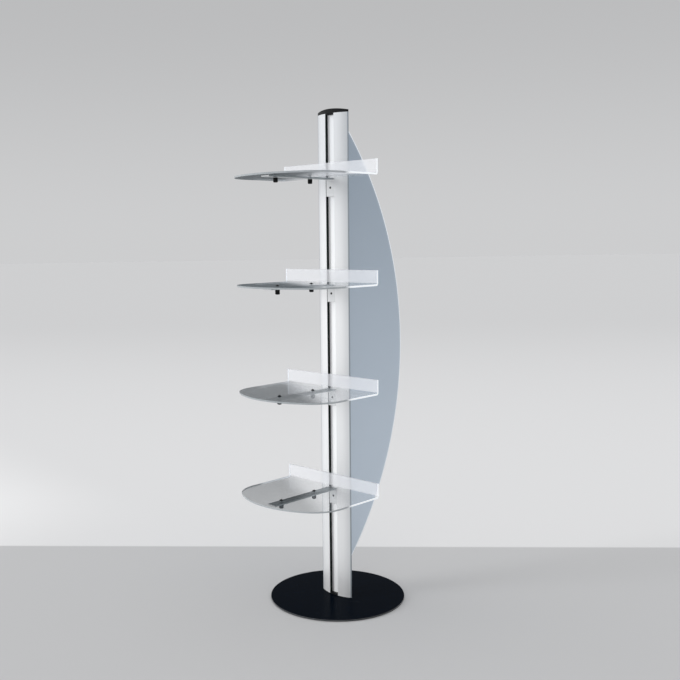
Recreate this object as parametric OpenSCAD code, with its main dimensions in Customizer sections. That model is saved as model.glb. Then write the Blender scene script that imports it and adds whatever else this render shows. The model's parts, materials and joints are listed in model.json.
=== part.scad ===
// Free-standing display shelf: a round base, one lens-shaped extruded column with a T-shaped
// channel in its front and in its back, four bent acrylic shelves on brackets that slide in the
// front channel, and a bow-shaped panel held in the back channel.
// Millimetres. X runs along the shelves, the front faces -Y, and Z = 0 is the floor.

/* [Base] */
// Diameter of the base plate
base_d = 505; // [420:5:600]
// Thickness of the base plate
base_t = 6; // [5:0.5:14]
// Chamfer along the rim of the base plate
base_chamfer = 1; // [0.5:0.25:2]
// Diameter of a non-slip pad
pad_d = 30; // [20:1:40]
// Thickness of a non-slip pad
pad_t = 1.5; // [1:0.25:4]
// Distance from the rim of the base plate to the pads
pad_margin = 10; // [5:1:40]
// Number of non-slip pads
pad_count = 6; // [3:1:8]

/* [Column] */
// Width of the section from tip to tip
column_w = 146; // [140:1:170]
// Thickness of the section in its middle
column_d = 41; // [40:0.5:48]
// Width of the blunt tips
tip_t = 2.5; // [1.5:0.5:12]
// Height of the upper end of the column above the floor
column_top = 1784; // [1740:1:2000]
// Outer wall of the extrusion
wall_t = 3; // [2:0.25:3.5]
// Wall between the two channels and the hollow middle
web_t = 2.5; // [1.5:0.25:3.5]
// Thickness of the inner ribs
rib_t = 2.5; // [1.5:0.25:4]

/* [Channels] */
// Width of the mouth between the two lips
mouth_w = 40; // [34:1:46]
// Width of the channel behind the lips
slot_w = 58; // [54:1:62]
// Thickness of the lips at the mouth
lip_t = 6; // [5:0.25:7]
// Depth of the channel from the lips to its floor
channel_depth = 14; // [13:0.25:14.5]

/* [Column screws] */
// Thread diameter of the screws between base and column
screw_d = 8; // [6:1:8]
// Length of the screws above the underside of the base plate
screw_l = 40; // [25:1:60]
// Diameter of the countersunk heads
screw_head_d = 16; // [14:0.5:18]
// Distance of the inner pair of screws from the middle
screw_in_x = 38; // [36.5:0.5:39]
// Distance of the outer pair of screws from the middle
screw_out_x = 58; // [56:0.5:59]
// Wall of the screw ports around the thread
port_t = 3; // [2:0.25:3]

/* [Caps] */
// Thickness of the foot cap between base and column
foot_t = 1; // [0.5:0.5:6]
// Height of the top cap at the tips
cap_rim_h = 8; // [5:0.5:12]
// Height of the top cap in its middle
cap_h = 16; // [13:0.5:25]
// Height of the tabs that close the channels
tab_h = 5; // [3:0.5:12]
// Depth of the plugs inside the column
plug_h = 12; // [6:1:30]

/* [Wing panel] */
// Thickness of the panel
wing_t = 5; // [3:0.5:6]
// Reach of the bowed edge behind the middle of the column, at half height
wing_reach = 378; // [200:1:450]
// Width of the blunt ends of the panel that shows behind the column
wing_end = 13; // [6:1:60]
// Height of the lower end of the panel above the floor
wing_low = 83; // [60:1:200]
// Wall of the gasket on both sides of the panel
gasket_t = 1.5; // [1:0.25:2.5]
// Depth of the groove in the rail, in which the gasket lies
groove_depth = 11.5; // [9:0.25:12]
// Height of the lower end of the rail above the floor
rail_low = 40; // [22:1:55]
// Diameter of the cross pins through rail and panel
pin_d = 4; // [3:0.5:5]
// Diameter of the set screws of the rail
rail_screw_d = 6; // [4:1:8]
// Distance of the set screws from the middle of the rail
rail_screw_x = 12.5; // [11:0.5:13]
// Distance of the end pins and end set screws from the ends of the panel
rail_end = 60; // [40:1:120]
// Distance between a cross pin and the set screws beside it
pin_step = 25; // [15:1:35]

/* [Shelves] */
// Height of the upper face of each shelf above the floor
shelf_z = [433, 806, 1188, 1565]; // [200:1:1640]
// Width of a shelf
shelf_w = 450; // [400:5:500]
// Depth of a shelf from the back of the upstand to the front edge
shelf_depth = 350; // [320:5:400]
// Thickness of the acrylic
shelf_t = 6; // [4:0.5:8]
// Height of the upstand above the underside of the shelf
upstand_h = 54; // [30:1:90]
// Inner radius of the bend between shelf and upstand
bend_r = 3; // [2:0.5:8]
// Radius of the shallow front edge
front_r = 315; // [280:5:450]
// Radius of the two front corners
corner_r = 125; // [80:5:150]
// Gap between the column and the upstand
upstand_gap = 0.5; // [0.3:0.1:3]

/* [Brackets] */
// Width of the flat bar
bar_w = 38; // [28:0.5:38]
// Thickness of the flat bar
bar_t = 5; // [4:0.5:6]
// Inner radius of the bend in the bar
bar_bend_r = 4; // [3:0.5:8]
// Reach of the arm in front of the column
arm_reach = 315; // [285:1:330]
// Height of the leg in the channel
leg_h = 64; // [60:1:90]
// Height of the slide plate behind the lips
plate_h = 50; // [46:1:50]
// Thickness of the slide plate
plate_t = 7; // [6:0.25:7]
// Distance from the top of the bracket to the lock screw
lock_drop = 33; // [32:0.5:34]
// Thread diameter of the lock screw
lock_d = 8; // [6:1:10]
// Thread diameter of the two screws between leg and slide plate
plate_screw_d = 5; // [3:0.5:5]
// Distance between those two screws
plate_screw_pitch = 32; // [28:1:34]

/* [Bolts and knobs] */
// Distance from the front of the column to the inner bolt
bolt_in = 100; // [70:1:120]
// Distance between the two bolts of a shelf
bolt_pitch = 166; // [120:1:170]
// Thread diameter of the bolts
bolt_d = 6; // [5:0.5:8]
// Diameter of the button heads
bolt_head_d = 10.5; // [10:0.5:13]
// Height of the button heads
bolt_head_h = 3.3; // [2.5:0.1:5]
// Diameter of the nylon washers under the heads
head_washer_d = 14; // [13.5:0.5:20]
// Thickness of the nylon washers
head_washer_t = 1.2; // [0.8:0.1:2]
// Diameter of the steel washers above the knobs
knob_washer_d = 13; // [12:0.5:16]
// Thickness of the steel washers
knob_washer_t = 1.6; // [1:0.1:2.5]
// Diameter of a knob
knob_d = 16; // [15:0.5:24]
// Height of a knob
knob_h = 16; // [14:0.5:24]
// Rounded lower edge of a knob
knob_round = 3.5; // [1.5:0.5:4.5]
// Number of grip grooves around a knob
knob_grooves = 14; // [8:1:18]
// Diameter of a grip groove
groove_d = 2; // [1.2:0.1:2.4]

/* [Clearances] */
// Clearance around a thread or a turning pin, on each side
run_gap = 0.05; // [0.03:0.01:0.1]
// Clearance of a screw in a plain hole, on each side
hole_gap = 0.3; // [0.2:0.05:0.6]
// Clearance of a part that sits in a recess, on each side
seat_gap = 0.2; // [0.1:0.05:0.4]
// Clearance between the slide plate and the lips, also of the lock screw to the channel's floor
slide_gap = 0.3; // [0.2:0.05:0.4]
// Clearance between the slide plate and the channel, at its sides
side_gap = 1; // [0.5:0.25:2]
// Clearance between a knob and its washer
knob_gap = 0.3; // [0.2:0.05:0.5]

/* [Hidden] */
SHELF_PIECES = ["shelf", "bracket", "slide_plate", "plate_screws", "lock_screw", "shelf_bolts",
    "head_washers", "knob_washers", "inner_knob", "outer_knob"];
$fn = 96;

// Colours, as they look in the shop
ALUMINIUM = "#dfe2e6";
STEEL = "#b9bdc2";
BLACK_STEEL = "#15191f";
BLACK_PLASTIC = "#17191c";
RUBBER = "#202224";
SHELF_TINT = [0.55, 0.59, 0.62, 0.75];
WING_TINT = [0.62, 0.68, 0.74, 0.85];

// A number of facets fine enough for the long, shallow arcs
LONG_ARC = 720;

// Heights of the stacked parts
base_z = pad_t;
foot_z = base_z + base_t;
column_z = foot_z + foot_t;
column_l = column_top - column_z;

// Radius of an arc from its chord and its rise
function arc_radius(chord, rise) = (chord * chord / 4 + rise * rise) / (2 * rise);

// Section of the column: two shallow arcs, cut off at the blunt tips
lens_r = arc_radius(column_w, (column_d - tip_t) / 2);
lip_y = sqrt(pow(lens_r, 2) - pow(mouth_w / 2, 2)) - (lens_r - column_d / 2);
lip_in_y = lip_y - lip_t;
floor_y = lip_y - channel_depth;
port_xs = [-screw_out_x, -screw_in_x, screw_in_x, screw_out_x];
port_d = screw_d + 2 * run_gap;
rib_x = slot_w / 6;

// Dome of the top cap
dome_r = arc_radius(column_w, cap_h - cap_rim_h);

// Wing panel: its straight edge sits in the gasket, and the gasket in the groove of the rail
wing_top = column_top - 1;
wing_mid = (wing_low + wing_top) / 2;
wing_r = arc_radius(wing_top - wing_low, wing_reach - lip_y - wing_end);
rail_out_y = lip_y;
groove_y = rail_out_y - groove_depth;
panel_y = groove_y + gasket_t + seat_gap;
gasket_w = wing_t + 2 * gasket_t;
gasket_lip = 2;
pin_y = lip_in_y + pin_d / 2 + 2 * run_gap;
pin_l = mouth_w - 4 * seat_gap;
pin_zs = [wing_low + rail_end, wing_mid, wing_top - rail_end];
rail_screw_zs = [for (z = pin_zs) z + pin_step];
rail_screw_l = 11;

// Shelf outline: straight sides, two round corners, and a shallow front arc that meets them
back_y = -(column_d / 2 + upstand_gap);
front_y = back_y - shelf_depth;
front_centre_y = front_y + front_r;
corner_x = shelf_w / 2 - corner_r;
corner_drop = sqrt(pow(front_r - corner_r, 2) - pow(corner_x, 2));
corner_y = front_centre_y - corner_drop;

// Bracket: the arm's upper face carries the shelf, the leg's back lies on the slide plate
arm_z = -shelf_t;
plate_front_y = -(lip_in_y - slide_gap);
leg_back_y = plate_front_y;
leg_front_y = leg_back_y - bar_t;
arm_end_y = -(lip_y + arm_reach);
lock_z = arm_z - lock_drop;
plate_back_y = plate_front_y + plate_t;
lock_tip_y = -(floor_y + slide_gap);

// Bolts and knobs, measured from the upper face of the shelf
inner_y = -(column_d / 2 + bolt_in);
outer_y = inner_y - bolt_pitch;
bolt_ys = [inner_y, outer_y];
bolt_hole_d = bolt_d + 2 * hole_gap;
arm_under_z = arm_z - bar_t;
knob_top_z = arm_under_z - knob_washer_t - knob_gap;
knob_floor = 3.5;
thread_end_z = knob_top_z - knob_h + knob_floor;

// Outline of the column's section, moved in by a distance
module lens_2d(inset = 0) {
    intersection() {
        translate([0, lens_r - column_d / 2]) circle(lens_r - inset, $fn = LONG_ARC);
        translate([0, column_d / 2 - lens_r]) circle(lens_r - inset, $fn = LONG_ARC);
        square([column_w - 2 * inset, column_d], center = true);
    }
}

// T-shaped channel in the front of the section
module channel_2d() {
    translate([-mouth_w / 2, -column_d]) square([mouth_w, column_d - floor_y]);
    translate([-slot_w / 2, -lip_in_y]) square([slot_w, lip_in_y - floor_y]);
}

// Hollow spaces left and right of the channels, around the screw ports
module chambers_2d(gap = 0) {
    chamber_x = slot_w / 2 + wall_t + gap;
    difference() {
        intersection() {
            lens_2d(wall_t + gap);
            for (left = [-column_w, chamber_x]) {
                translate([left, -column_d / 2]) square([column_w - chamber_x, column_d]);
            }
        }
        for (x = port_xs) {
            translate([x, 0]) circle(d = port_d + 2 * (port_t + gap));
            translate([x, 0]) square([rib_t + 2 * gap, column_d], center = true);
        }
    }
}

// Hollow middle between the floors of the two channels
module web_2d() {
    difference() {
        square([slot_w, 2 * (floor_y - web_t)], center = true);
        for (x = [-rib_x, rib_x]) translate([x, 0]) square([rib_t, column_d], center = true);
    }
}

// Tab that fills the mouth of the front channel over a height
module tab(height) {
    translate([-mouth_w / 2 + seat_gap, -lip_y + 1, 0])
        cube([mouth_w - 2 * seat_gap, lip_y - 1 - floor_y - seat_gap, height]);
}

// Screw with a countersunk head, its head at Z = 0 and its thread upwards
module countersunk_screw(d, head_d, length, socket) {
    difference() {
        union() {
            cylinder(d1 = head_d, d2 = d, h = (head_d - d) / 2);
            cylinder(d = d, h = length);
        }
        translate([0, 0, -1]) cylinder(d = socket / cos(30), h = 1 + (head_d - d) / 2, $fn = 6);
    }
}

// Space for a countersunk screw
module countersunk_hole(d, head_d, length) {
    wide_d = head_d + 2 * seat_gap;
    translate([0, 0, -0.01]) cylinder(d1 = wide_d, d2 = d + 2 * seat_gap, h = (head_d - d) / 2);
    translate([0, 0, -1]) cylinder(d = d + 2 * hole_gap, h = length + 1);
}

// Set screw with a hexagon socket, its tip at Z = 0
module set_screw(d, length, socket) {
    chamfer = 0.6;
    difference() {
        union() {
            cylinder(d1 = d - 2 * chamfer, d2 = d, h = chamfer);
            translate([0, 0, chamfer]) cylinder(d = d, h = length - chamfer);
        }
        translate([0, 0, length - socket]) cylinder(d = socket / cos(30), h = socket + 1, $fn = 6);
    }
}

module base_plate() {
    color(BLACK_STEEL) difference() {
        translate([0, 0, base_z]) rotate_extrude($fn = 360) polygon([
            [0, 0],
            [base_d / 2 - base_chamfer, 0],
            [base_d / 2, base_chamfer],
            [base_d / 2, base_t - base_chamfer],
            [base_d / 2 - base_chamfer, base_t],
            [0, base_t]]);
        for (x = port_xs) {
            translate([x, 0, base_z]) countersunk_hole(screw_d, screw_head_d, base_t + 1);
        }
    }
}

module base_pads() {
    color(RUBBER) for (i = [0:pad_count - 1]) {
        rotate([0, 0, i * 360 / pad_count])
            translate([(base_d - pad_d) / 2 - pad_margin, 0, 0]) cylinder(d = pad_d, h = pad_t);
    }
}

module column_screws() {
    color(STEEL) for (x = port_xs) {
        translate([x, 0, base_z]) countersunk_screw(screw_d, screw_head_d, screw_l, screw_d * 5 / 8);
    }
}

module foot_cap() {
    color(BLACK_PLASTIC) difference() {
        union() {
            translate([0, 0, foot_z]) linear_extrude(foot_t) lens_2d();
            translate([0, 0, column_z]) linear_extrude(plug_h) chambers_2d(seat_gap);
            for (turn = [0, 180]) rotate([0, 0, turn]) translate([0, 0, column_z]) tab(tab_h);
        }
        for (x = port_xs) {
            translate([x, 0, foot_z - 1]) cylinder(d = screw_d + 2 * hole_gap, h = foot_t + 2);
        }
    }
}

module column() {
    color(ALUMINIUM) translate([0, 0, column_z]) linear_extrude(column_l) difference() {
        lens_2d();
        channel_2d();
        mirror([0, 1]) channel_2d();
        chambers_2d();
        web_2d();
        for (x = port_xs) translate([x, 0]) circle(d = port_d);
    }
}

module top_cap() {
    color(BLACK_PLASTIC) translate([0, 0, column_top]) {
        intersection() {
            linear_extrude(cap_h + 1) lens_2d();
            translate([0, 0, cap_h - dome_r]) sphere(dome_r, $fn = 360);
        }
        translate([0, 0, -plug_h]) linear_extrude(plug_h) chambers_2d(seat_gap);
        translate([0, 0, -tab_h]) tab(tab_h);
    }
}

module wing_panel() {
    color(WING_TINT) translate([-wing_t / 2, 0, 0]) rotate([90, 0, 90]) linear_extrude(wing_t) difference() {
        intersection() {
            translate([wing_reach - wing_r, wing_mid]) circle(wing_r, $fn = LONG_ARC);
            translate([panel_y, wing_low]) square([wing_reach, wing_top - wing_low]);
        }
        for (z = pin_zs) translate([pin_y, z]) circle(d = pin_d + 2 * hole_gap);
    }
}

// Bores through rail or gasket for the cross pins
module pin_bores(d) {
    for (z = pin_zs) translate([-mouth_w, pin_y, z]) rotate([0, 90, 0]) cylinder(d = d, h = 2 * mouth_w);
}

module wing_gasket() {
    width = gasket_w - 2 * run_gap;
    lips_w = width + 2 * gasket_lip;
    inner_w = wing_t + 2 * run_gap;
    color(RUBBER) difference() {
        translate([0, 0, wing_low]) linear_extrude(wing_top - wing_low) difference() {
            union() {
                translate([-width / 2, groove_y + run_gap]) square([width, groove_depth + 1]);
                translate([-lips_w / 2, rail_out_y + run_gap]) square([lips_w, gasket_lip]);
            }
            translate([-inner_w / 2, panel_y - seat_gap]) square([inner_w, groove_depth * 2]);
        }
        pin_bores(pin_d + 2 * hole_gap);
    }
}

module wing_rail() {
    flange_w = slot_w - 2 * side_gap;
    neck_w = mouth_w - 2 * seat_gap;
    rail_in_y = floor_y + seat_gap;
    color(ALUMINIUM) difference() {
        translate([0, 0, rail_low]) linear_extrude(wing_top - rail_low) difference() {
            union() {
                translate([-flange_w / 2, rail_in_y]) square([flange_w, lip_in_y - seat_gap - rail_in_y]);
                translate([-neck_w / 2, rail_in_y]) square([neck_w, rail_out_y - rail_in_y]);
            }
            translate([-gasket_w / 2, groove_y]) square([gasket_w, groove_depth + 1]);
        }
        pin_bores(pin_d + 2 * run_gap);
        for (x = [-rail_screw_x, rail_screw_x], z = rail_screw_zs) {
            translate([x, 0, z]) rotate([-90, 0, 0]) cylinder(d = rail_screw_d + 2 * run_gap, h = column_d);
        }
    }
}

module wing_pins() {
    color(STEEL) for (z = pin_zs) {
        translate([-pin_l / 2, pin_y, z]) rotate([0, 90, 0]) cylinder(d = pin_d, h = pin_l);
    }
}

module rail_screws() {
    color(STEEL) for (x = [-rail_screw_x, rail_screw_x], z = rail_screw_zs) {
        translate([x, floor_y, z]) rotate([-90, 0, 0])
            set_screw(rail_screw_d, rail_screw_l, rail_screw_d / 2);
    }
}

// Puts a part of a shelf at the height of that shelf
module at_shelf(n) {
    translate([0, 0, shelf_z[n - 1]]) children();
}

// Bar bent by 90 degrees, in the plane of Y and Z: one leg from the origin along -Y, one along -Z,
// both with their outer faces on the axes
module bend_2d(length, drop, t, r_in) {
    difference() {
        rounded_corner_2d(length, drop, r_in + t, 0);
        rounded_corner_2d(length + 1, drop + 1, r_in, t);
    }
}

// Quadrant of -Y and -Z up to an inset, its corner rounded
module rounded_corner_2d(length, drop, r, inset) {
    translate([-inset, -inset]) {
        translate([-length, -drop]) square([length - r, drop]);
        translate([-length, -drop]) square([length, drop - r]);
        translate([-r, -r]) circle(r);
    }
}

// Extrudes a drawing of Y and Z over a width along X
module along_x(width) {
    translate([-width / 2, 0, 0]) rotate([90, 0, 90]) linear_extrude(width) children();
}

module shelf_outline_2d() {
    translate([-shelf_w / 2, corner_y]) square([shelf_w, back_y + 1 - corner_y]);
    for (x = [-corner_x, corner_x]) translate([x, corner_y]) circle(corner_r, $fn = 360);
    intersection() {
        translate([0, front_centre_y]) circle(front_r, $fn = LONG_ARC);
        translate([0, front_centre_y]) polygon([
            [0, 0],
            [2 * corner_x, -2 * corner_drop],
            [0, -4 * front_r],
            [-2 * corner_x, -2 * corner_drop]]);
    }
}

module shelf() {
    color(SHELF_TINT) difference() {
        intersection() {
            along_x(shelf_w) translate([back_y, -shelf_t]) mirror([0, 1])
                bend_2d(shelf_depth + 1, upstand_h, shelf_t, bend_r);
            translate([0, 0, -shelf_t - 1]) linear_extrude(upstand_h + 2) shelf_outline_2d();
        }
        for (y = bolt_ys) translate([0, y, -shelf_t - 1]) cylinder(d = bolt_hole_d, h = shelf_t + 2);
    }
}

module bracket() {
    color(STEEL) difference() {
        along_x(bar_w) translate([leg_back_y, arm_z])
            bend_2d(leg_back_y - arm_end_y, leg_h, bar_t, bar_bend_r);
        for (y = bolt_ys) translate([0, y, arm_under_z - 1]) cylinder(d = bolt_hole_d, h = bar_t + 2);
        translate([0, leg_front_y - 1, lock_z]) rotate([-90, 0, 0])
            cylinder(d = lock_d + 2 * hole_gap, h = bar_t + 2);
        for (side = [-1, 1]) {
            translate([0, leg_front_y + 1, lock_z + side * plate_screw_pitch / 2]) rotate([-90, 0, 0])
                cylinder(d = plate_screw_d + 2 * run_gap, h = bar_t);
        }
    }
}

module slide_plate() {
    width = slot_w - 2 * side_gap;
    color(STEEL) difference() {
        translate([-width / 2, plate_front_y, lock_z - plate_h / 2]) cube([width, plate_t, plate_h]);
        translate([0, plate_front_y - 1, lock_z]) rotate([-90, 0, 0])
            cylinder(d = lock_d + 2 * run_gap, h = plate_t + 2);
        for (side = [-1, 1]) {
            translate([0, plate_back_y, lock_z + side * plate_screw_pitch / 2]) rotate([90, 0, 0])
                countersunk_hole(plate_screw_d, 2 * plate_screw_d, plate_t + 1);
        }
    }
}

module plate_screws() {
    length = plate_t + bar_t - 1 - seat_gap;
    color(STEEL) for (side = [-1, 1]) {
        translate([0, plate_back_y, lock_z + side * plate_screw_pitch / 2]) rotate([90, 0, 0])
            countersunk_screw(plate_screw_d, 2 * plate_screw_d, length, plate_screw_d * 0.6);
    }
}

module lock_screw() {
    length = -leg_front_y + lock_tip_y;
    color(BLACK_STEEL) translate([0, lock_tip_y, lock_z]) rotate([90, 0, 0])
        set_screw(lock_d, length, lock_d / 2);
}

module shelf_bolts() {
    seat_z = head_washer_t;
    rise = bolt_head_h - 0.8;
    dome = arc_radius(bolt_head_d, rise);
    socket_d = bolt_d * 2 / 3 / cos(30);
    color(BLACK_STEEL) for (y = bolt_ys) {
        translate([0, y, 0]) difference() {
            union() {
                translate([0, 0, thread_end_z]) cylinder(d = bolt_d, h = seat_z - thread_end_z + 1);
                intersection() {
                    translate([0, 0, seat_z]) cylinder(d = bolt_head_d, h = bolt_head_h);
                    translate([0, 0, seat_z + bolt_head_h - dome]) sphere(dome);
                }
            }
            translate([0, 0, seat_z + bolt_head_h - 2.2]) cylinder(d = socket_d, h = 3, $fn = 6);
        }
    }
}

// Pair of washers at the bolts, from a height upwards
module washer_pair(z, d, t) {
    for (y = bolt_ys) {
        translate([0, y, z]) difference() {
            cylinder(d = d, h = t);
            translate([0, 0, -1]) cylinder(d = bolt_hole_d, h = t + 2);
        }
    }
}

module head_washers() {
    color(BLACK_PLASTIC) washer_pair(0, head_washer_d, head_washer_t);
}

module knob_washers() {
    color(STEEL) washer_pair(arm_under_z - knob_washer_t, knob_washer_d, knob_washer_t);
}

module knob(y) {
    r = knob_d / 2;
    color(BLACK_PLASTIC) translate([0, y, knob_top_z]) difference() {
        translate([0, 0, -knob_h]) rotate_extrude() {
            square([r - knob_round, knob_round]);
            translate([0, knob_round]) square([r, knob_h - knob_round]);
            translate([r - knob_round, knob_round]) circle(knob_round);
        }
        for (i = [0:knob_grooves - 1]) {
            rotate([0, 0, i * 360 / knob_grooves]) translate([r, 0, -knob_h - 1])
                cylinder(d = groove_d, h = knob_h - 1, $fn = 16);
        }
        translate([0, 0, thread_end_z - knob_top_z - 1])
            cylinder(d = bolt_d + 2 * run_gap, h = knob_h);
    }
}

base_plate();
base_pads();
column_screws();
foot_cap();
column();
top_cap();
wing_panel();
wing_gasket();
wing_rail();
wing_pins();
rail_screws();
for (n = [1:len(shelf_z)]) {
    at_shelf(n) shelf();
    at_shelf(n) bracket();
    at_shelf(n) slide_plate();
    at_shelf(n) plate_screws();
    at_shelf(n) lock_screw();
    at_shelf(n) shelf_bolts();
    at_shelf(n) head_washers();
    at_shelf(n) knob_washers();
    at_shelf(n) knob(inner_y);
    at_shelf(n) knob(outer_y);
}
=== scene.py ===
import json
import math

import bmesh
import bpy
from mathutils import Matrix, Vector

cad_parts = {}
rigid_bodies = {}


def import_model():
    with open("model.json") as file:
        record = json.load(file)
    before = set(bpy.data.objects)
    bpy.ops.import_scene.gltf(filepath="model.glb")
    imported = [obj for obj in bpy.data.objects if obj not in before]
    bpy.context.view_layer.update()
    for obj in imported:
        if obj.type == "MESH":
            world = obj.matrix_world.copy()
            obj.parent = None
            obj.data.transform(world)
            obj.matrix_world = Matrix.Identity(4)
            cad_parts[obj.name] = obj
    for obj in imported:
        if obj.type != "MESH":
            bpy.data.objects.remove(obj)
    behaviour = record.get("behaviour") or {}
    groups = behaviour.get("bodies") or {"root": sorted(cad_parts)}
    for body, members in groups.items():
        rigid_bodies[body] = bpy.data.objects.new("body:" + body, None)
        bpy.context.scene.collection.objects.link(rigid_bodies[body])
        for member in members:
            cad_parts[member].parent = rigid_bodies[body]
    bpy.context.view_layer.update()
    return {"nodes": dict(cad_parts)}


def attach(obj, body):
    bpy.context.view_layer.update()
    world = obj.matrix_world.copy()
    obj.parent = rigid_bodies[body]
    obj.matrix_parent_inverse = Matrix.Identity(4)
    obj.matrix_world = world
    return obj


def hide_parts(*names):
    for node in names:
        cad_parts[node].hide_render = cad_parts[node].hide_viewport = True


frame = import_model()


# Camera. It stands 3.4 m from the column, to the right of the shelves' front and between the
# heights of the two upper shelves, and looks down a little. PICTURE, FOCAL and MIDDLE are in pixels.
CAMERA_PLACE = (2.3136, -2.4858, 1.3495)
CAMERA_YAW = math.radians(45.329)
CAMERA_PITCH = math.radians(8.084)
CAMERA_ROLL = math.radians(-0.884)
SENSOR = 36.0
PICTURE = 680
FOCAL = 930.5
MIDDLE = (297.0, 370.3)
SIGHT = 60

level = Matrix.Rotation(CAMERA_YAW, 4, "Z") @ Matrix.Rotation(math.pi / 2 - CAMERA_PITCH, 4, "X")
camera_data = bpy.data.cameras.new("view")
camera_data.sensor_width = SENSOR
camera_data.lens = FOCAL / PICTURE * SENSOR
camera_data.shift_x = (PICTURE / 2 - MIDDLE[0]) / PICTURE
camera_data.shift_y = (MIDDLE[1] - PICTURE / 2) / PICTURE
camera_data.clip_end = SIGHT
camera = bpy.data.objects.new("view", camera_data)
bpy.context.scene.collection.objects.link(camera)
camera.matrix_world = Matrix.Translation(CAMERA_PLACE) @ level @ Matrix.Rotation(CAMERA_ROLL, 4, "Z")
bpy.context.scene.camera = camera
bpy.context.scene.view_settings.view_transform = "Standard"


# Studio. A grey floor near the stand and a paler one around it run into a pale haze; at the left in
# front, toward the window, the floor is palest with painted light. The light comes softly from above,
# from a wide window of the haze at the left in front, and from a low bank of lamps in front that
# lights the column to its foot and isn't mirrored in it.
STUDIO_SIZE = 120
FLOOR_NEAR = (0.558, 0.561, 0.569)
FLOOR_BACK = (0.76, 0.763, 0.771)
FLOOR_FAR = (0.65, 0.653, 0.66)
FLOOR_PAINTED_LIGHT = (0.90, 0.903, 0.91)
# The way from the stand to the line between the grey floor and the pale one, how far off the line is
# that way, and half its soft width.
FLOOR_WAY = (-0.672, 0.741)
FLOOR_LINE = 0.56
FLOOR_SOFT = 0.01
# The floor turns pale over REACH_PALE metres from the stand all round, takes painted light over
# REACH_SIDE toward the window, and dims over DEPTH_FAR past the line. SIDE_SPREAD says how near to
# the window's way the painted light is full, as cosines.
REACH_PALE = (1.5, 2.4)
REACH_SIDE = (1.2, 2.4)
DEPTH_FAR = (1.0, 12.0)
SIDE_SPREAD = (0.65, 0.92)
HAZE_LOW = (0.610, 0.613, 0.620)
HAZE_HIGH = (0.500, 0.503, 0.510)
CEILING = (1.0, 1.0, 1.0)
WINDOW = (1.0, 1.0, 1.0)
WINDOW_AT = (-0.77, -0.60, 0.16)
# How high the haze dims and the ceiling begins, as sines, and how wide the window is, as cosines.
HAZE_RISE = (0.0, 0.25)
CEILING_RISE = (0.35, 0.8)
WINDOW_SPREAD = (0.55, 0.85)
FRONT_BANK = 1.6
FRONT_BANK_WIDTH = 20
FRONT_BANK_AT = (-0.50, -0.85, 0.17)


class Value:
    """A socket of a node tree; + and * on it add Math nodes, and so does math."""

    def __init__(self, nodes, socket):
        self.nodes, self.socket = nodes, socket

    def math(self, operation, *others):
        return self.nodes.add("ShaderNodeMath", {"operation": operation}, dict(enumerate((self, *others))))

    def __add__(self, other):
        return self.math("ADD", other)

    def __mul__(self, other):
        return self.math("MULTIPLY", other)

    def step(self, low, high):
        """0 at low, 1 at high, smooth between and level beyond; low may be the greater."""
        return self.nodes.add("ShaderNodeMapRange", {"interpolation_type": "SMOOTHSTEP"},
                              {"Value": self, "From Min": low, "From Max": high})

    def mix(self, at_0, at_1):
        """The colour at_0 where this value is 0, and at_1 where it is 1."""
        return self.nodes.add("ShaderNodeMix", {"data_type": "RGBA"}, {0: self, 6: at_0, 7: at_1}, out=2)


class Nodes:
    """The nodes of one material or of the world."""

    def __init__(self, owner):
        owner.use_nodes = True
        self.owner, self.tree = owner, owner.node_tree
        self.tree.nodes.clear()

    def add(self, kind, settings=None, sockets=None, out=0):
        """Adds a node: its settings first, then the values or links of its sockets."""
        node = self.tree.nodes.new(kind)
        for key, value in (settings or {}).items():
            setattr(node, key, value)
        for key, value in (sockets or {}).items():
            if isinstance(value, Value):
                self.tree.links.new(value.socket, node.inputs[key])
            elif node.inputs[key].type == "RGBA":
                node.inputs[key].default_value = (*value, 1)
            else:
                node.inputs[key].default_value = value
        return Value(self, node.outputs[out]) if len(node.outputs) else None

    def place(self):
        """The place on the object, in metres."""
        return self.add("ShaderNodeTexCoord", out="Object")

    def axis(self, vector, letter):
        return self.add("ShaderNodeSeparateXYZ", sockets={0: vector}, out="XYZ".index(letter))

    def noise(self, scale, detail=2.0, stretch=(1, 1, 1)):
        """Noise of about that many spots per metre, from 0 to 1."""
        where = self.add("ShaderNodeMapping", sockets={"Vector": self.place(), "Scale": stretch})
        return self.add("ShaderNodeTexNoise", sockets={"Vector": where, "Scale": scale, "Detail": detail})

    def bump(self, height, depth, strength=1.0):
        sockets = {"Height": height, "Distance": depth, "Strength": strength}
        return self.add("ShaderNodeBump", sockets=sockets)

    def surface(self, **sockets):
        """Ends the material in a Principled shader with these sockets, and returns the material."""
        shader = self.add("ShaderNodeBsdfPrincipled",
                          sockets={key.replace("_", " "): value for key, value in sockets.items()})
        self.add("ShaderNodeOutputMaterial", sockets={"Surface": shader})
        return self.owner


def finish(name):
    """The empty nodes of a new material."""
    return Nodes(bpy.data.materials.new(name))


bpy.ops.object.select_all(action="DESELECT")
bpy.ops.mesh.primitive_plane_add(size=STUDIO_SIZE)
floor = bpy.context.object
floor.name = "floor"
nodes = finish("studio_floor")
place = nodes.place()
x, y = nodes.axis(place, "X"), nodes.axis(place, "Y")
depth = x * FLOOR_WAY[0] + y * FLOOR_WAY[1]
reach = (x * x + y * y).math("SQRT")
side = (x * WINDOW_AT[0] + y * WINDOW_AT[1]).math("DIVIDE", reach)
pale = depth.step(*DEPTH_FAR).mix(FLOOR_BACK, FLOOR_FAR)
# Painted light: the floor is palest toward the window.
pale = (side.step(*SIDE_SPREAD) * reach.step(*REACH_SIDE)).mix(pale, FLOOR_PAINTED_LIGHT)
past_line = depth.step(FLOOR_LINE - FLOOR_SOFT, FLOOR_LINE + FLOOR_SOFT)
past_line = past_line.math("MAXIMUM", reach.step(*REACH_PALE))
floor.data.materials.append(nodes.surface(Base_Color=past_line.mix(FLOOR_NEAR, pale), Roughness=0.9,
                                          Specular_IOR_Level=0.0))

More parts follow.
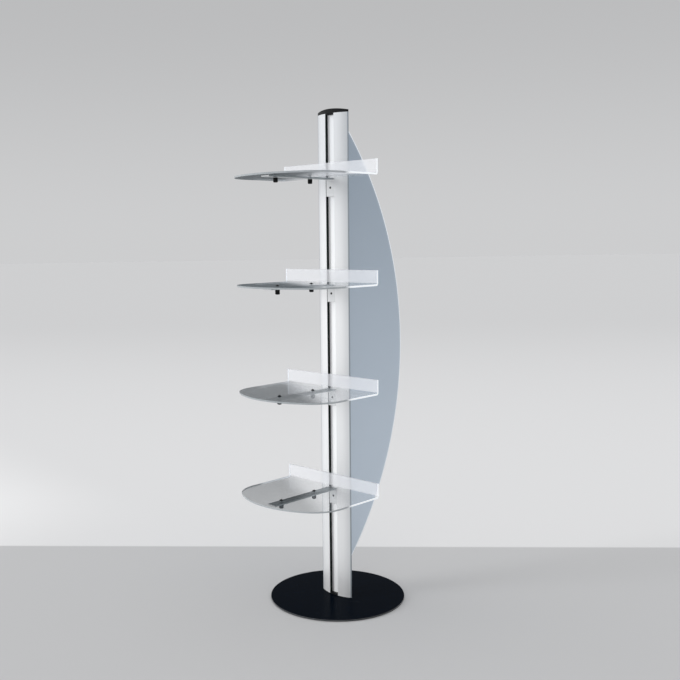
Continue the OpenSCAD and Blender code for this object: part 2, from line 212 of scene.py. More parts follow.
nodes = Nodes(bpy.context.scene.world or bpy.data.worlds.new("studio"))
bpy.context.scene.world = nodes.owner
direction = nodes.add("ShaderNodeTexCoord", out="Generated")
height = nodes.axis(direction, "Z")
toward = nodes.add("ShaderNodeVectorMath", {"operation": "DOT_PRODUCT"},
                   {0: direction, 1: Vector(WINDOW_AT).normalized()}, out="Value")
tone = height.step(*HAZE_RISE).mix(HAZE_LOW, HAZE_HIGH)
tone = height.step(*CEILING_RISE).mix(tone, CEILING)
tone = toward.step(*WINDOW_SPREAD).mix(tone, WINDOW)
light = nodes.add("ShaderNodeBackground", sockets={"Color": tone, "Strength": 1.0})
nodes.add("ShaderNodeOutputWorld", sockets={"Surface": light})

sun = bpy.data.lights.new("front_bank", "SUN")
sun.energy, sun.angle = FRONT_BANK, math.radians(FRONT_BANK_WIDTH)
bank = bpy.data.objects.new("front_bank", sun)
bpy.context.scene.collection.objects.link(bank)
bank.visible_glossy = False
bank.rotation_euler = Vector(FRONT_BANK_AT).to_track_quat("Z", "Y").to_euler()


# Base plate. A disc of 6 mm steel, 505 mm across, its rim broken to a small round, powder-coated
# in smooth black, with a painted grey highlight on the rim. Four countersunk holes from below take the
# screws of the column.
BASE_RADIUS = 0.2525
BASE_LOW, BASE_TOP = 0.0015, 0.0075
BASE_ROUND = 0.0011
BASE_RING = 0.006
BASE_SIDES = 288
RIM_BAND = 0.002
SCREW_XS = (-0.058, -0.038, 0.038, 0.058)
# The cuts of a screw's hole: start and end above the underside, and the radius at each.
COUNTERSINK = ((-0.002, 0.0001, 0.0083, 0.0082),
               (0.0, 0.004, 0.0082, 0.0042),
               (0.001, 0.012, 0.0043, 0.0043))
CUTTER_SIDES = 48
# Places no further apart than this count as one.
HAIR = 1e-5
# A face looks a way if its normal's part that way is over this.
FACING = 0.99
BASE_BLACK = (0.0014, 0.0034, 0.0072)
BASE_DUST = (0.006, 0.008, 0.011)
BASE_RIM_HIGHLIGHT = (0.12, 0.125, 0.13)
COAT_GRAIN = 900
DUST_SPOTS = 14


def begin(name):
    """The primitive just added becomes a piece with its place in its mesh, all selected in edit mode."""
    piece = bpy.context.object
    piece.name = piece.data.name = name
    bpy.ops.object.transform_apply(location=True, rotation=True, scale=True)
    bpy.context.tool_settings.mesh_select_mode = [True, False, False]
    bpy.ops.object.mode_set(mode="EDIT")
    bpy.ops.mesh.select_all(action="SELECT")
    return piece


def pick(piece, kind, test):
    """In edit mode, selects just the verts, edges or faces that pass the test.

    The test gets the middle and the normal, or for an edge the middle and the way along it.
    """
    bpy.context.tool_settings.mesh_select_mode = [kind == k for k in ("verts", "edges", "faces")]
    bpy.ops.mesh.select_all(action="DESELECT")
    mesh = bmesh.from_edit_mesh(piece.data)
    for item in getattr(mesh, kind):
        if kind == "verts":
            found = test(item.co, item.normal)
        elif kind == "edges":
            start, end = item.verts[0].co, item.verts[1].co
            found = test((start + end) / 2, start - end)
        else:
            found = test(item.calc_center_median(), item.normal)
        item.select_set(found)
    mesh.select_flush_mode()
    bmesh.update_edit_mesh(piece.data)


def paint(piece, test, material):
    """Gives the faces whose middle and normal pass the test another material."""
    piece.data.materials.append(material)
    for face in piece.data.polygons:
        if test(face.center, face.normal):
            face.material_index = len(piece.data.materials) - 1


def hold(piece):
    """Selects just that piece and makes it the active one."""
    bpy.ops.object.select_all(action="DESELECT")
    bpy.context.view_layer.objects.active = piece
    piece.select_set(True)


def shape(piece, kind, **settings):
    """Adds a modifier and applies it."""
    hold(piece)
    modifier = piece.modifiers.new(kind.lower(), kind)
    for key, value in settings.items():
        setattr(modifier, key, value)
    bpy.ops.object.modifier_apply(modifier=modifier.name)


def combine(piece, operation, other):
    """Cuts the other out of the piece, joins it on or keeps what the two share, and deletes the other."""
    shape(piece, "BOOLEAN", operation=operation, object=other, solver="EXACT")
    bpy.data.objects.remove(other)


def smooth_all(piece, angle=25):
    """Smooths the shading, with the large faces kept flat to their edges."""
    hold(piece)
    bpy.ops.object.shade_smooth_by_angle(angle=math.radians(angle))
    shape(piece, "WEIGHTED_NORMAL", keep_sharp=True)


def drill(piece, centre, way, *sections):
    """Cuts a round hole; each section is its start and end along the way, and the radius at each."""
    turn = Vector(way).to_track_quat("Z", "Y").to_euler()
    for start, end, start_radius, end_radius in sections:
        bpy.ops.object.select_all(action="DESELECT")
        bpy.ops.mesh.primitive_cone_add(vertices=CUTTER_SIDES, radius1=start_radius, radius2=end_radius,
                                        depth=end - start, rotation=turn,
                                        location=Vector(centre) + Vector(way) * (start + end) / 2)
        bpy.ops.object.transform_apply(location=True, rotation=True, scale=True)
        combine(piece, "DIFFERENCE", bpy.context.object)


def on_base_rim(at, normal):
    return abs(normal.z) < 0.3 and at.xy.length > BASE_RADIUS - RIM_BAND


bpy.ops.object.select_all(action="DESELECT")
bpy.ops.mesh.primitive_cylinder_add(vertices=BASE_SIDES, radius=BASE_RADIUS, depth=BASE_TOP - BASE_LOW,
                                    location=(0, 0, (BASE_LOW + BASE_TOP) / 2))
base = begin("base_plate_coated")
pick(base, "edges", lambda at, way: abs(way.z) < HAIR and at.xy.length > BASE_RADIUS * 0.99)
bpy.ops.mesh.bevel(offset=BASE_ROUND, segments=4, affect="EDGES")
for facing in (-1, 1):
    pick(base, "faces", lambda at, normal: normal.z * facing > FACING)
    bpy.ops.mesh.inset(thickness=BASE_RING)
bpy.ops.object.mode_set(mode="OBJECT")
for x in SCREW_XS:
    drill(base, (x, 0, BASE_LOW), (0, 0, 1), *COUNTERSINK)
smooth_all(base, 30)

nodes = finish("black_powder_coat")
dust = nodes.noise(DUST_SPOTS, 4.0).step(0.5, 0.9) * 0.25
grain = nodes.noise(COAT_GRAIN)
base.data.materials.append(nodes.surface(Base_Color=dust.mix(BASE_BLACK, BASE_DUST),
                                         Roughness=grain * 0.08 + dust * 0.25 + 0.2,
                                         Specular_IOR_Level=0.005, Normal=nodes.bump(grain, 0.00003, 0.6)))
# Painted highlight: the rim's faces are painted grey.
nodes = finish("painted_rim_highlight")
grain = nodes.noise(COAT_GRAIN)
paint(base, on_base_rim, nodes.surface(Base_Color=grain.mix(BASE_BLACK, BASE_RIM_HIGHLIGHT),
                                       Roughness=grain * 0.1 + 0.3, Specular_IOR_Level=0.5))
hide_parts("base_plate")
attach(base, "stand")


# Non-slip pads and column screws. The pads are punched from black rubber sheet and glued below
# the plate; the countersunk screws are zinc-plated steel and hold the column from below.
RUBBER_BLACK = (0.022, 0.022, 0.023)
RUBBER_WORN = (0.034, 0.034, 0.035)
ZINC = (0.62, 0.64, 0.66)
ZINC_DULL = (0.44, 0.45, 0.46)


def coat(node, material):
    """Gives a CAD node its finish."""
    piece = frame["nodes"][node]
    piece.data.materials.clear()
    piece.data.materials.append(material)


nodes = finish("black_rubber")
grain = nodes.noise(700, 3.0)
rubber = nodes.surface(Base_Color=grain.mix(RUBBER_BLACK, RUBBER_WORN), Roughness=grain * 0.2 + 0.62,
                       Normal=nodes.bump(grain, 0.00005))
coat("base_pads", rubber)

nodes = finish("zinc_plated_steel")
cloud = nodes.noise(160, 3.0)
grain = nodes.noise(1500)
zinc = nodes.surface(Base_Color=cloud.step(0.35, 0.75).mix(ZINC, ZINC_DULL), Metallic=1.0,
                     Roughness=cloud * 0.14 + 0.24, Normal=nodes.bump(grain, 0.00001, 0.5))
coat("column_screws", zinc)


# Column. One aluminium extrusion of lens-shaped section, 146 by 41 mm, satin anodised, with a
# T-shaped channel in its front and its back. Fine die lines run along its whole length. Painted shade
# greys it toward its top and darkens its flanks, its tips and the undercuts behind the lips, and the
# channels' floors have a painted glow.
LENS_HALF_WIDTH = 0.073
LENS_HALF_DEPTH = 0.0205
TIP_HALF = 0.00125
LENS_RISE = LENS_HALF_DEPTH - TIP_HALF
LENS_RADIUS = (LENS_HALF_WIDTH ** 2 + LENS_RISE ** 2) / 2 / LENS_RISE
LENS_CENTRE_Y = LENS_RADIUS - LENS_HALF_DEPTH
COLUMN_LOW, COLUMN_TOP = 0.0085, 1.784
COLUMN_ROUND = 0.0004
LENS_SIDES = 720
# How far inside the lens a face no longer counts as the outside of the extrusion.
SKIN = 0.0006
MOUTH_HALF = 0.020
SLOT_HALF = 0.029
STRIP_HALF = MOUTH_HALF + 0.001
CHANNEL_DEPTH = 0.014
LIP_Y = math.sqrt(LENS_RADIUS ** 2 - MOUTH_HALF ** 2) - LENS_RADIUS + LENS_HALF_DEPTH
LIP_THICK = 0.006
CHANNEL_Y = LIP_Y - CHANNEL_DEPTH
# The same as a hair, for faces that are found by their middles.
SLACK = 1e-4
SATIN_ALUMINIUM = (0.92, 0.93, 0.94)
SATIN_SHADE = (0.89, 0.90, 0.91)
SATIN_TOP_SHADE = (0.70, 0.72, 0.745)
TIP_SHADE = (0.30, 0.34, 0.38)
UNDERCUT_SHADOW = (0.018, 0.026, 0.026)
UNDERCUT_SHADE = (0.03, 0.038, 0.038)
NO_GLOW = (0, 0, 0)
DIE_LINES = (900, 900, 1.2)
# The heights over which painted shade greys the column toward its top and a painted glow brightens its
# channels' floors above the foot, and how far off the middle painted shade darkens the flanks and then
# the tips.
TOP_SHADE_FADE = (1.05, 1.85)
PAINTED_GLOW_FADE = (-0.1, 0.45)
FLANK_SHADE_FADE = (0.042, LENS_HALF_WIDTH)
FLANK_SHADE = 0.22
TIP_SHADE_FADE = (LENS_HALF_WIDTH - 0.0055, LENS_HALF_WIDTH - 0.001)


def trim(*cuts):
    """Cuts the selection by planes, each a spot and a normal, and drops what lies on the normal's side."""
    for spot, normal in cuts:
        bpy.ops.mesh.bisect(plane_co=spot, plane_no=normal, clear_outer=True, threshold=1e-6)
        bpy.ops.mesh.select_linked()


def pull(x=0.0, y=0.0, z=0.0):
    """Extrudes the selection by that much."""
    bpy.ops.mesh.extrude_region_move(TRANSFORM_OT_translate={"value": (x, y, z)})


def lens_quarter(name, low, inner_x):
    """The front right arc of the section from inner_x outwards, as edges at a height, and half the tip."""
    bpy.ops.object.select_all(action="DESELECT")
    bpy.ops.mesh.primitive_circle_add(vertices=LENS_SIDES, radius=LENS_RADIUS,
                                      location=(0, LENS_CENTRE_Y, low))
    piece = begin(name)
    trim(((0, 0, 0), (0, 1, 0)), ((LENS_HALF_WIDTH, 0, 0), (1, 0, 0)), ((inner_x, 0, 0), (-1, 0, 0)))
    pick(piece, "verts", lambda at, normal: at.x > LENS_HALF_WIDTH - HAIR)
    pull(y=TIP_HALF)
    return piece


def mirror(piece, *axes):
    """Mirrors the outline across the middle, and selects the whole, closed, in edit mode."""
    bpy.ops.object.mode_set(mode="OBJECT")
    shape(piece, "MIRROR", use_axis=["X" in axes, "Y" in axes, False], merge_threshold=HAIR)
    bpy.ops.object.mode_set(mode="EDIT")
    bpy.ops.mesh.select_all(action="SELECT")
    bpy.ops.mesh.remove_doubles(threshold=HAIR)


def close_and_raise(piece, rise):
    """Mirrors a quarter of the section, fills it and raises it to a solid."""
    mirror(piece, "X", "Y")
    bpy.ops.mesh.edge_face_add()
    bpy.ops.mesh.select_all(action="SELECT")
    pull(z=rise)
    bpy.ops.mesh.select_all(action="SELECT")
    bpy.ops.mesh.normals_make_consistent(inside=False)
    bpy.ops.object.mode_set(mode="OBJECT")


def ease(piece, width, segments=2, angle=35):
    """Rounds the edges at which the piece turns by more than the angle."""
    shape(piece, "BEVEL", width=width, segments=segments, limit_method="ANGLE",
          angle_limit=math.radians(angle))


def in_undercut(at, normal):
    """Beside the channel's floor and behind its lips, but not on the outside of the extrusion."""
    beside = MOUTH_HALF - SLACK < abs(at.x) < SLOT_HALF + SLACK and CHANNEL_Y - SLACK < abs(at.y)
    return beside and Vector((at.x, abs(at.y) + LENS_CENTRE_Y, 0)).length < LENS_RADIUS - SKIN


def on_channel_floor(at, normal):
    return abs(at.x) < MOUTH_HALF and abs(abs(at.y) - CHANNEL_Y) < SLACK


column = lens_quarter("column_extrusion", COLUMN_LOW, MOUTH_HALF)
pick(column, "verts", lambda at, normal: at.x < MOUTH_HALF + HAIR)
pull(y=LIP_THICK)
pull(x=SLOT_HALF - MOUTH_HALF)
pull(y=LIP_Y - LIP_THICK - CHANNEL_Y)
pull(x=STRIP_HALF - SLOT_HALF)
pull(x=-STRIP_HALF)
close_and_raise(column, COLUMN_TOP - COLUMN_LOW)
ease(column, COLUMN_ROUND)
smooth_all(column)

nodes = finish("satin_aluminium_painted_shade")
lines = nodes.noise(1.0, 3.0, stretch=DIE_LINES)
cloud = nodes.noise(3.0, stretch=(6, 6, 1))
place = nodes.place()
aside = nodes.axis(place, "X").math("ABSOLUTE")
# Painted shade: darker flanks and tips, and grey toward the top.
dark = (aside.step(*FLANK_SHADE_FADE) * FLANK_SHADE).math("MAXIMUM", aside.step(*TIP_SHADE_FADE))
bright = (lines * 0.6 + cloud * 0.4).step(0.3, 0.8).mix(SATIN_ALUMINIUM, SATIN_SHADE)
bright = nodes.axis(place, "Z").step(*TOP_SHADE_FADE).mix(bright, SATIN_TOP_SHADE)
satin = nodes.surface(Base_Color=dark.mix(bright, TIP_SHADE), Metallic=0.45, Roughness=lines * 0.08 + 0.31,
                      Normal=nodes.bump(lines, 0.00001, 0.4))
column.data.materials.append(satin)
# Painted shadow: the undercuts behind the lips are painted near black.
nodes = finish("undercut_painted_shadow")
lines = nodes.noise(1.0, 3.0, stretch=DIE_LINES)
paint(column, in_undercut, nodes.surface(Base_Color=lines.mix(UNDERCUT_SHADOW, UNDERCUT_SHADE),
                                         Roughness=lines * 0.1 + 0.6, Specular_IOR_Level=0.1))
# Painted glow on the channels' floors, rising from the foot.
nodes = finish("channel_floor_painted_glow")
lines = nodes.noise(1.0, 3.0, stretch=DIE_LINES)
height = nodes.axis(nodes.place(), "Z")
bright = height.step(*TOP_SHADE_FADE).mix(lines.mix(SATIN_ALUMINIUM, SATIN_SHADE), SATIN_TOP_SHADE)
glow = height.step(*PAINTED_GLOW_FADE).mix(NO_GLOW, SATIN_ALUMINIUM)
paint(column, on_channel_floor, nodes.surface(Base_Color=bright, Metallic=0.2, Roughness=lines * 0.1 + 0.4,
                                              Emission_Color=glow, Emission_Strength=0.19))
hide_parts("column")
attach(column, "stand")


# Foot cap and top cap. Black moulded plastic: each closes an end of the extrusion, with a tab in
# the mouth of the front channel, and the foot cap with one in the rear channel as well. The top cap
# is domed over its width.
TAB_HALF = 0.0198
TAB_HIGH = 0.005
TAB_BEHIND_LIP = 0.001
TAB_RIM, TAB_DISH = 0.0012, 0.0004
# A tab stays this far off the channel's floor, and runs as far into its cap.
TAB_IN = 0.0002
FOOT_ROUND = 0.0003
CAP_RIM = 0.008
CAP_TOP = 1.800
CAP_ROUND = 0.0009
# The cap is raised this much too high before the dome is cut.
CAP_SPARE = 0.002
DOME_RISE = CAP_TOP - COLUMN_TOP - CAP_RIM
DOME_RADIUS = (LENS_HALF_WIDTH ** 2 + DOME_RISE ** 2) / 2 / DOME_RISE
DOME_SIDES, DOME_RINGS = 240, 360
CAP_BLACK = (0.006, 0.0065, 0.007)
CAP_GREY = (0.011, 0.012, 0.013)


def channel_tab(name, side, low):
    """The tab that fills the mouth of a channel, 5 mm high; side is -1 at the front, 1 at the back."""
    near, far = LIP_Y - TAB_BEHIND_LIP, CHANNEL_Y + TAB_IN
    bpy.ops.object.select_all(action="DESELECT")
    bpy.ops.mesh.primitive_cube_add(size=1, location=(0, side * (near + far) / 2, low + TAB_HIGH / 2),
                                    scale=(2 * TAB_HALF, near - far, TAB_HIGH))
    piece = begin(name)
    pick(piece, "faces", lambda at, normal: normal.y * side > 0.9)
    bpy.ops.mesh.inset(thickness=TAB_RIM)
    bpy.ops.transform.translate(value=(0, -side * TAB_DISH, 0))
    bpy.ops.object.mode_set(mode="OBJECT")
    return piece


foot = lens_quarter("foot_cap_moulded", BASE_TOP, 0.0)
close_and_raise(foot, COLUMN_LOW - BASE_TOP)
for side in (-1, 1):
    combine(foot, "UNION", channel_tab("tab", side, COLUMN_LOW - TAB_IN))
ease(foot, FOOT_ROUND, angle=40)
smooth_all(foot, 30)

cap = lens_quarter("top_cap_moulded", COLUMN_TOP, 0.0)
close_and_raise(cap, CAP_TOP - COLUMN_TOP + CAP_SPARE)
bpy.ops.object.select_all(action="DESELECT")
bpy.ops.mesh.primitive_uv_sphere_add(segments=DOME_SIDES, ring_count=DOME_RINGS, radius=DOME_RADIUS,
                                     location=(0, 0, CAP_TOP - DOME_RADIUS))
bpy.ops.object.transform_apply(location=True, rotation=True, scale=True)
combine(cap, "INTERSECT", bpy.context.object)
combine(cap, "UNION", channel_tab("tab", -1, COLUMN_TOP - TAB_HIGH + TAB_IN))
ease(cap, CAP_ROUND, segments=3, angle=40)
smooth_all(cap, 30)

nodes = finish("black_moulded_plastic")
grain = nodes.noise(1300, 3.0)
cloud = nodes.noise(40)
moulded = nodes.surface(Base_Color=cloud.mix(CAP_BLACK, CAP_GREY), Roughness=grain * 0.16 + 0.36,
                        Specular_IOR_Level=0.15, Normal=nodes.bump(grain, 0.00003, 0.7))
for piece, node in ((foot, "foot_cap"), (cap, "top_cap")):
    piece.data.materials.append(moulded)
    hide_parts(node)
    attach(piece, "stand")


# Rear rail with the panel's gasket, pins and set screws. The rail is extruded aluminium; its
# black rubber gasket grips the panel's straight edge.
coat("wing_rail", satin)
coat("wing_gasket", rubber)
coat("wing_pins", zinc)
coat("rail_screws", zinc)


# Wing panel. A 5 mm sheet of blue-grey acrylic cut as the segment of a large circle, its bowed
# edge polished. Its straight edge stands in the gasket of the rear rail. Its bowed edge and a band
# beside it carry a painted highlight with a painted glow, and painted light makes it paler toward its
# foot.
WING_HALF = 0.0025
WING_LOW, WING_TOP = 0.083, 1.783
WING_MIDDLE = (WING_LOW + WING_TOP) / 2
WING_IN_Y = LIP_Y - 0.0098
WING_REACH = 0.378
WING_CORNER_Y = LIP_Y + 0.013
WING_RISE = WING_REACH - WING_CORNER_Y
WING_RADIUS = ((WING_TOP - WING_LOW) ** 2 / 4 + WING_RISE ** 2) / 2 / WING_RISE
WING_HIGHLIGHT_BAND = 0.0048
WING_ROUND = 0.0005
WING_SIDES = 1080
WING_BLUE = (0.42, 0.50, 0.59)
WING_PAINTED_LIGHT = (0.72, 0.82, 0.93)
WING_EDGE_HIGHLIGHT = (0.86, 0.90, 0.93)
WING_EDGE_HIGHLIGHT_DIM = (0.80, 0.84, 0.88)
PAINTED_GLOW = (0.9, 0.95, 1.0)
# Painted light that makes the panel paler toward its foot, 0 for the blue and 1 for the pale: what a
# metre of height adds, and at Z = 0.
WING_PER_METRE, WING_AT_ZERO = -0.74, 1.13


def on_wing_edge(at, normal):
    """On the bowed edge, or on the band beside it."""
    from_centre = Vector((at.y - WING_REACH + WING_RADIUS, at.z - WING_MIDDLE)).length
    return from_centre > WING_RADIUS - WING_HIGHLIGHT_BAND + SLACK


bpy.ops.object.select_all(action="DESELECT")
bpy.ops.mesh.primitive_circle_add(vertices=WING_SIDES, radius=WING_RADIUS, rotation=(0, math.pi / 2, 0),
                                  location=(0, WING_REACH - WING_RADIUS, WING_MIDDLE))
wing = begin("wing_panel_sheet")
trim(((0, 0, WING_TOP), (0, 0, 1)), ((0, 0, WING_LOW), (0, 0, -1)), ((0, 0, 0), (0, -1, 0)))
pick(wing, "verts", lambda at, normal: at.z > WING_TOP - HAIR or at.z < WING_LOW + HAIR)
pull(y=WING_IN_Y - WING_CORNER_Y)
bpy.ops.mesh.select_all(action="SELECT")
bpy.ops.mesh.edge_face_add()
bpy.ops.mesh.inset(thickness=WING_HIGHLIGHT_BAND)
bpy.ops.mesh.select_all(action="SELECT")
pull(x=2 * WING_HALF)
bpy.ops.mesh.select_all(action="SELECT")
bpy.ops.transform.translate(value=(-WING_HALF, 0, 0))
bpy.ops.mesh.normals_make_consistent(inside=False)
bpy.ops.object.mode_set(mode="OBJECT")
ease(wing, WING_ROUND, angle=40)
smooth_all(wing)

nodes = finish("blue_grey_acrylic")
cloud = nodes.noise(5)
# Painted light: the panel is paler toward its foot.
fade = nodes.axis(nodes.place(), "Z") * WING_PER_METRE + cloud * 0.03 + WING_AT_ZERO
wing.data.materials.append(nodes.surface(Base_Color=fade.math("MAXIMUM", 0.0).mix(WING_BLUE, WING_PAINTED_LIGHT),
                                         Roughness=cloud * 0.06 + 0.22, Alpha=0.93))
# Painted highlight and glow on the bowed edge and the band beside it.
nodes = finish("wing_edge_painted_highlight")
cloud = nodes.noise(60)
paint(wing, on_wing_edge, nodes.surface(Base_Color=cloud.mix(WING_EDGE_HIGHLIGHT, WING_EDGE_HIGHLIGHT_DIM),
                                        Roughness=cloud * 0.08 + 0.08,
                                        Emission_Color=PAINTED_GLOW, Emission_Strength=0.16))
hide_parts("wing_panel")
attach(wing, "stand")


# Shelves. Each is 6 mm clear, faintly blue-grey acrylic with a bow front, hot-bent at the back to a low
# upstand, its edges flame-polished. A painted dark reflection greys each sheet toward its front left, a
# painted highlight brightens its rim at the sides and its upstand has a faint painted glow. One is
# modelled with its top at zero and copied to each height.
SHELF_TOPS = {1: 0.433, 2: 0.806, 3: 1.188, 4: 1.565}
SHEET = 0.006
SHEET_ROUND = 0.0004
SHELF_HALF = 0.225
SHELF_DEPTH = 0.350
BACK_Y = -0.021
BEND = 0.003
BEND_Y = BACK_Y - SHEET - BEND
UPSTAND_TOP = 0.048
FRONT_Y = BACK_Y - SHELF_DEPTH
FRONT_RADIUS = 0.315
FRONT_CENTRE = FRONT_Y + FRONT_RADIUS
CORNER_RADIUS = 0.125
CORNER_X = SHELF_HALF - CORNER_RADIUS
CORNER_Y = FRONT_CENTRE - math.sqrt((FRONT_RADIUS - CORNER_RADIUS) ** 2 - CORNER_X ** 2)
CORNER_SWEEP = math.atan2(FRONT_CENTRE - CORNER_Y, CORNER_X)
FRONT_SIDES, CORNER_SIDES = 900, 360
BOLT_YS = (-0.1205, -0.2865)
BOLT_HOLE = 0.0033
# How far a cutter runs past a sheet or a bar.
PAST = 0.001
# Faces within this of the upstand's top or front count as the upstand's.
NEAR = 0.001
SHEET_CLEAR = (0.60, 0.64, 0.69)
SHEET_REFLECTION_GREY = (0.018, 0.042, 0.060)
SHEET_REFLECTION_CLOUD = (0.024, 0.050, 0.068)
UPSTAND_WHITE = (0.86, 0.87, 0.91)
UPSTAND_CLOUD = (0.89, 0.90, 0.93)
RIM_GREY = (0.40, 0.43, 0.45)
RIM_SHADE = (0.34, 0.37, 0.39)
RIM_SIDE_HIGHLIGHT = (0.90, 0.92, 0.94)
# A painted highlight with a painted glow brightens the rim at the shelf's two sides, from about their
# middle to the back.
SIDE_X = (SHELF_HALF - 0.010, SHELF_HALF - 0.001)
SIDE_Y = (-0.195, -0.155)
# A painted dark reflection greys the sheet from the rear right, where there is none, to the front left.
# A sheet hides this much of what is behind it where it is clear, and this much more where the painted
# reflection is full; the flat veil is added where the sheet is seen at a flat angle, and its mirroring
# blurs at a flatter one.
REFLECTION_LEAN, REFLECTION_FADE = 0.6, (-0.08, -0.23)
VEIL = (0.09, 0.19)
FLAT_VEIL = (0.16, 0.36)
FLAT_LOOK = (0.70, 0.86)
BLUR_LOOK = (0.86, 0.94)


def spin(piece, test, centre, angle, steps):
    """Turns the edges that pass the test about the X direction into an arc of faces."""
    pick(piece, "edges", test)
    bpy.ops.mesh.spin(steps=steps, angle=angle, center=centre, axis=(-1, 0, 0))


def through(thickness, radius):
    """The section of a hole that goes right through."""
    return -PAST, thickness + PAST, radius, radius


def copy_up(piece, name, rise):
    """A copy of the piece with its own mesh, raised by that much and at rest there."""
    hold(piece)
    bpy.ops.object.duplicate()
    other = bpy.context.object
    other.name = other.data.name = name
    other.location = (0, 0, rise)
    bpy.ops.object.transform_apply(location=True, rotation=False, scale=False)
    return other


def on_sheet(at, normal):
    """On the two faces of the plate, or on those of its bend."""
    on_bend = at.z < UPSTAND_TOP - NEAR and abs(normal.x) < 0.01 and at.y > BEND_Y
    return abs(normal.z) > FACING or on_bend


def on_upstand(at, normal):
    return abs(normal.y) > FACING and at.y > BACK_Y - SHEET - NEAR and at.z > BEND


ray = (math.sin(CORNER_SWEEP), math.cos(CORNER_SWEEP), 0)
bpy.ops.object.select_all(action="DESELECT")
bpy.ops.mesh.primitive_circle_add(vertices=FRONT_SIDES, radius=FRONT_RADIUS,
                                  location=(0, FRONT_CENTRE, 0))
sheet = begin("shelf_sheet")
trim(((0, 0, 0), (-1, 0, 0)), ((0, FRONT_CENTRE, 0), ray))
bpy.ops.mesh.select_all(action="DESELECT")
bpy.ops.mesh.primitive_circle_add(vertices=CORNER_SIDES, radius=CORNER_RADIUS,
                                  location=(CORNER_X, CORNER_Y, 0))
trim(((0, CORNER_Y, 0), (0, 1, 0)), ((CORNER_X, CORNER_Y, 0), (-ray[0], -ray[1], 0)))
pick(sheet, "verts", lambda at, normal: at.y > CORNER_Y - HAIR)
pull(y=BEND_Y - CORNER_Y)
mirror(sheet, "X")
bpy.ops.mesh.edge_face_add()
spin(sheet, lambda at, way: at.y > BEND_Y - HAIR and abs(way.x) > SHELF_HALF,
     (0, BEND_Y, BEND), math.pi / 2, 10)
pull(z=UPSTAND_TOP - BEND)
bpy.ops.object.mode_set(mode="OBJECT")
shape(sheet, "SOLIDIFY", thickness=SHEET, offset=-1.0, use_even_offset=True)
for y in BOLT_YS:
    drill(sheet, (0, y, -SHEET), (0, 0, 1), through(SHEET, BOLT_HOLE))
ease(sheet, SHEET_ROUND)
smooth_all(sheet)

nodes = finish("polished_acrylic_rim_painted_highlight")
cloud = nodes.noise(60)
place = nodes.place()
# Painted highlight and glow on the rim at the sides, toward the back.
side = nodes.axis(place, "X").math("ABSOLUTE").step(*SIDE_X) * nodes.axis(place, "Y").step(*SIDE_Y)
rim = side.mix(cloud.mix(RIM_GREY, RIM_SHADE), RIM_SIDE_HIGHLIGHT)
glow = side.mix(NO_GLOW, PAINTED_GLOW)
sheet.data.materials.append(nodes.surface(Base_Color=rim, Roughness=cloud * 0.1 + 0.06,
                                          Alpha=side * 0.15 + 0.85,
                                          Emission_Color=glow, Emission_Strength=0.35))
nodes = finish("clear_acrylic_painted_reflection")
cloud = nodes.noise(8)
place = nodes.place()
# Painted dark reflection: the sheet greys toward its front left.
grey = (nodes.axis(place, "X") * REFLECTION_LEAN + nodes.axis(place, "Y")).step(*REFLECTION_FADE)
flat = nodes.add("ShaderNodeLayerWeight", sockets={"Blend": 0.5}, out="Facing")
veil = flat.step(*FLAT_LOOK) * (grey * FLAT_VEIL[1] + FLAT_VEIL[0]) + grey * VEIL[1] + VEIL[0]
paint(sheet, on_sheet, nodes.surface(Base_Color=grey.mix(SHEET_CLEAR, cloud.mix(SHEET_REFLECTION_GREY, SHEET_REFLECTION_CLOUD)),
                                     Roughness=cloud * 0.01 + flat.step(*BLUR_LOOK) * 0.5 + 0.015,
                                     Alpha=veil))
# The upstand carries a faint painted glow.
nodes = finish("clear_upstand_acrylic")
cloud = nodes.noise(8)
paint(sheet, on_upstand, nodes.surface(Base_Color=cloud.mix(UPSTAND_WHITE, UPSTAND_CLOUD),
                                       Roughness=cloud * 0.03 + 0.04, Alpha=0.32,
                                       Emission_Color=PAINTED_GLOW, Emission_Strength=0.05))
for number, top in SHELF_TOPS.items():
    shelf = copy_up(sheet, f"shelf_{number}_sheet", top)
    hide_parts(f"shelf_{number}")
    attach(shelf, f"carrier_{number}")
bpy.data.objects.remove(sheet)


# Brackets. Each is a 38 by 5 mm zinc-plated flat steel bar bent to an L: the arm lies under the shelf,
# darker with a painted dark reflection, and is drilled for its two bolts, and the bright leg hangs in the
# channel, with a hole for the lock screw and two blind holes behind for the screws of the slide plate.
BAR_HALF = 0.019
BAR = 0.005
BAR_ROUND = 0.0006
ARM_LENGTH = 0.315
ARM_END_Y = -LIP_Y - ARM_LENGTH
LEG_PAST_LIPS = 0.0003
LEG_BACK_Y = -LIP_Y + LIP_THICK + LEG_PAST_LIPS
LEG_LOW = -0.070
BAR_OUTER_BEND = 0.009
BAR_BEND_Y, BAR_BEND_Z = LEG_BACK_Y - BAR_OUTER_BEND, -SHEET - BAR_OUTER_BEND
LOCK_Z = -0.039
LOCK_HOLE = 0.0043
PLATE_SCREW_OFF = 0.016
PLATE_SCREW_HOLE = (0.001, BAR + PAST, 0.00255, 0.00255)
BAR_BRIGHT = (0.78, 0.79, 0.80)
BAR_SHADE = (0.70, 0.72, 0.74)
ARM_REFLECTION_GREY = (0.33, 0.365, 0.38)
ARM_REFLECTION_DIM = (0.28, 0.31, 0.325)
ROLLED_LINES = (1600, 60, 60)


def on_arm(at, normal):
    """On the arm, but not on its cut end."""
    return at.y < BAR_BEND_Y + HAIR and normal.y > -0.9


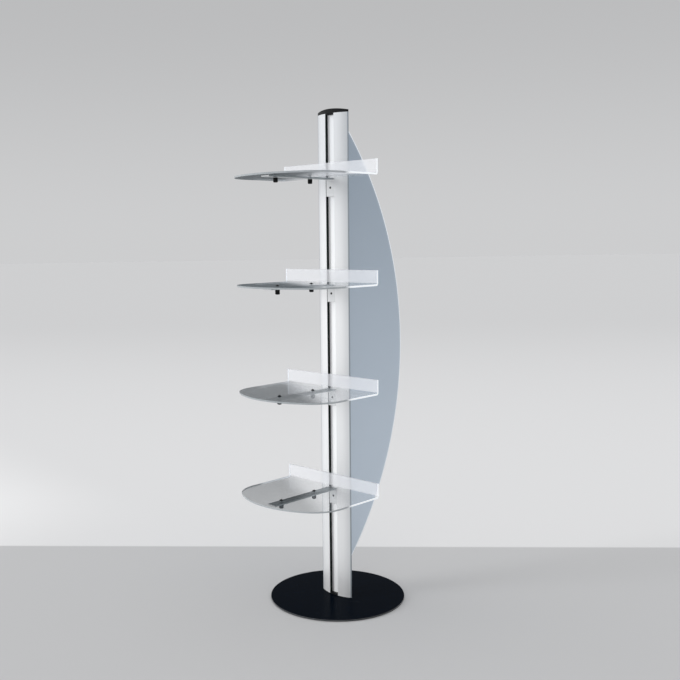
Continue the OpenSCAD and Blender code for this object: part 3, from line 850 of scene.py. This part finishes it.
bpy.ops.object.select_all(action="DESELECT")
bpy.ops.mesh.primitive_plane_add(size=1, location=(0, (ARM_END_Y + BAR_BEND_Y) / 2, -SHEET))
bpy.context.object.scale = (2 * BAR_HALF, BAR_BEND_Y - ARM_END_Y, 1)
bar = begin("bracket_bar")
spin(bar, lambda at, way: at.y > BAR_BEND_Y - HAIR, (0, BAR_BEND_Y, BAR_BEND_Z), -math.pi / 2, 12)
pull(z=LEG_LOW - BAR_BEND_Z)
bpy.ops.object.mode_set(mode="OBJECT")
shape(bar, "SOLIDIFY", thickness=BAR, offset=-1.0, use_even_offset=True)
for y in BOLT_YS:
    drill(bar, (0, y, -SHEET - BAR), (0, 0, 1), through(BAR, BOLT_HOLE))
drill(bar, (0, LEG_BACK_Y - BAR, LOCK_Z), (0, 1, 0), through(BAR, LOCK_HOLE))
for z in (LOCK_Z - PLATE_SCREW_OFF, LOCK_Z + PLATE_SCREW_OFF):
    drill(bar, (0, LEG_BACK_Y - BAR, z), (0, 1, 0), PLATE_SCREW_HOLE)
ease(bar, BAR_ROUND, segments=3)
smooth_all(bar)

nodes = finish("bright_zinc_bar")
grain = nodes.noise(1.0, 3.0, stretch=ROLLED_LINES)
cloud = nodes.noise(30)
tone = (grain * 0.5 + cloud * 0.5).step(0.3, 0.8)
bar.data.materials.append(nodes.surface(Base_Color=tone.mix(BAR_BRIGHT, BAR_SHADE), Metallic=0.3,
                                        Roughness=grain * 0.1 + 0.25,
                                        Normal=nodes.bump(grain, 0.00001, 0.4)))
# Painted dark reflection: the arm is painted darker than the leg.
nodes = finish("arm_painted_dark_reflection")
grain = nodes.noise(1.0, 3.0, stretch=ROLLED_LINES)
paint(bar, on_arm, nodes.surface(Base_Color=grain.mix(ARM_REFLECTION_GREY, ARM_REFLECTION_DIM), Metallic=0.8,
                                 Roughness=grain * 0.1 + 0.3))
for number, top in SHELF_TOPS.items():
    bracket = copy_up(bar, f"bracket_{number}_bar", top)
    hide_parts(f"bracket_{number}")
    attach(bracket, f"carrier_{number}")
bpy.data.objects.remove(bar)


# Slide plates and screws of the brackets. The plate behind the lips of the channel is zinc-plated
# steel, like the screws that hold it; the lock screw in the leg is black-oxide steel.
OXIDE_BLACK = (0.018, 0.018, 0.019)
OXIDE_WORN = (0.035, 0.034, 0.034)

nodes = finish("black_oxide_steel")
cloud = nodes.noise(300, 3.0)
oxide = nodes.surface(Base_Color=cloud.mix(OXIDE_BLACK, OXIDE_WORN), Metallic=0.7,
                      Roughness=cloud * 0.15 + 0.3)
for number in SHELF_TOPS:
    coat(f"slide_plate_{number}", zinc)
    coat(f"plate_screws_{number}", zinc)
    coat(f"lock_screw_{number}", oxide)


# Bolts, washers and knobs of the shelves. Black button-head screws go down through shelf and arm
# into grooved knobs of moulded black plastic, over a plastic washer under each head and a
# zinc-plated one above each knob.
for number in SHELF_TOPS:
    coat(f"shelf_bolts_{number}", oxide)
    coat(f"head_washers_{number}", moulded)
    coat(f"knob_washers_{number}", zinc)
    coat(f"inner_knob_{number}", moulded)
    coat(f"outer_knob_{number}", moulded)
